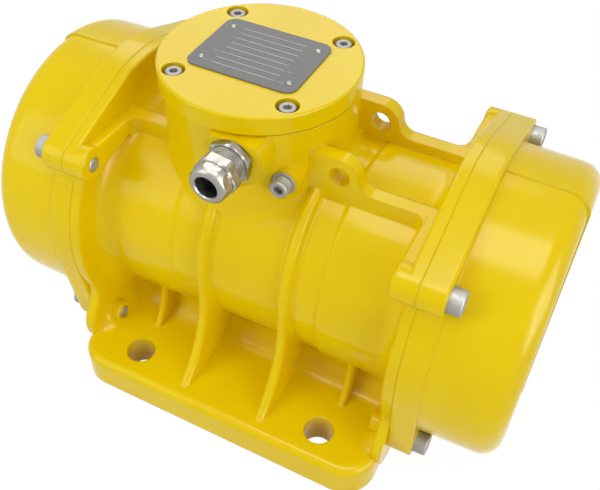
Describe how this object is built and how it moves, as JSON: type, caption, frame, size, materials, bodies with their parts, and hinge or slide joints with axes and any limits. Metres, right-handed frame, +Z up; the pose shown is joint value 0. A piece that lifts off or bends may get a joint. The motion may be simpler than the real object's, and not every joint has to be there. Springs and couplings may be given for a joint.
{
  "type": "vibration motor",
  "caption": "Foot-mounted external vibration motor: ribbed cast barrel with round terminal box, cup-shaped end covers and eccentric weights on both shaft ends.",
  "frame": {"origin": "on the foot's underside, at the centre of its four holes", "axes": "+X along the shaft, -Y towards the cable gland, +Z up"},
  "size_m": [0.3106, 0.208, 0.1941],
  "materials": {
    "yellow_paint": "gloss",
    "lid_paint": "gloss",
    "zinc_steel": "satin",
    "black_rubber": "matte",
    "plate_grey": "satin",
    "rivet_metal": "satin",
    "nickel_brass": "gloss",
    "board_plastic": "matte",
    "bare_brass": "satin",
    "inner_screws": "satin",
    "core_steel": "matte",
    "copper_winding": "satin",
    "cage_aluminium": "satin",
    "turned_steel": "satin",
    "cast_iron": "matte",
    "bearing_steel": "gloss",
    "cage_brass": "satin",
    "weight_iron": "matte"
  },
  "bodies": {
    "housing": {"bearing_cap_left": "cast_iron", "bearing_cap_right": "cast_iron", "bearing_outer_left": "bearing_steel", "bearing_outer_right": "bearing_steel", "bearing_shield_left": "cast_iron", "bearing_shield_right": "cast_iron", "board_screws": "inner_screws", "cover_ring_left": "black_rubber", "cover_ring_right": "black_rubber", "cover_screws": "zinc_steel", "earth_screw": "zinc_steel", "earth_washer": "zinc_steel", "end_cover_left": "yellow_paint", "end_cover_right": "yellow_paint", "gland_body": "nickel_brass", "gland_nut": "nickel_brass", "gland_ring": "black_rubber", "gland_seal": "black_rubber", "motor_housing": "yellow_paint", "nameplate": "plate_grey", "nameplate_rivets": "rivet_metal", "shield_screws": "inner_screws", "stator_core": "core_steel", "stator_winding": "copper_winding", "terminal_board": "board_plastic", "terminal_cover": "lid_paint", "terminal_cover_screws": "zinc_steel", "terminal_cover_washers": "zinc_steel", "terminal_gasket": "black_rubber", "terminal_nuts": "bare_brass", "terminal_studs": "bare_brass"},
    "rotor": {"bearing_inner_left": "bearing_steel", "bearing_inner_right": "bearing_steel", "fixed_clamp_screw_left": "inner_screws", "fixed_clamp_screw_right": "inner_screws", "fixed_weight_left": "weight_iron", "fixed_weight_right": "weight_iron", "retainer_left": "turned_steel", "retainer_right": "turned_steel", "rotor_cage": "cage_aluminium", "rotor_core": "core_steel", "shaft": "turned_steel", "weight_key_left": "turned_steel", "weight_key_right": "turned_steel"},
    "adjust_left": {"adjust_clamp_screw_left": "inner_screws", "adjust_weight_left": "weight_iron"},
    "adjust_right": {"adjust_clamp_screw_right": "inner_screws", "adjust_weight_right": "weight_iron"},
    "rollers_left": {"bearing_cage_left": "cage_brass", "bearing_rollers_left": "bearing_steel"},
    "rollers_right": {"bearing_cage_right": "cage_brass", "bearing_rollers_right": "bearing_steel"}
  },
  "joints": [
    {"name": "rotor_spin", "type": "hinge", "parent": "housing", "child": "rotor", "pos_m": [0, 0, 0.0848], "axis": [1, 0, 0], "continuous": true},
    {"name": "rollers_left_spin", "type": "hinge", "parent": "housing", "child": "rollers_left", "pos_m": [-0.0825, 0, 0.0848], "axis": [1, 0, 0], "continuous": true},
    {"name": "rollers_right_spin", "type": "hinge", "parent": "housing", "child": "rollers_right", "pos_m": [0.0825, 0, 0.0848], "axis": [1, 0, 0], "continuous": true},
    {"name": "adjust_left_turn", "type": "hinge", "parent": "rotor", "child": "adjust_left", "pos_m": [-0.133, 0, 0.0848], "axis": [1, 0, 0], "range_deg": [0, 180]},
    {"name": "adjust_right_turn", "type": "hinge", "parent": "rotor", "child": "adjust_right", "pos_m": [0.133, 0, 0.0848], "axis": [1, 0, 0], "range_deg": [0, 180]}
  ],
  "couplings": [
    {"joint": "rollers_left_spin", "follows": "rotor_spin", "ratio": 0.3961},
    {"joint": "rollers_right_spin", "follows": "rotor_spin", "ratio": 0.3961}
  ]
}
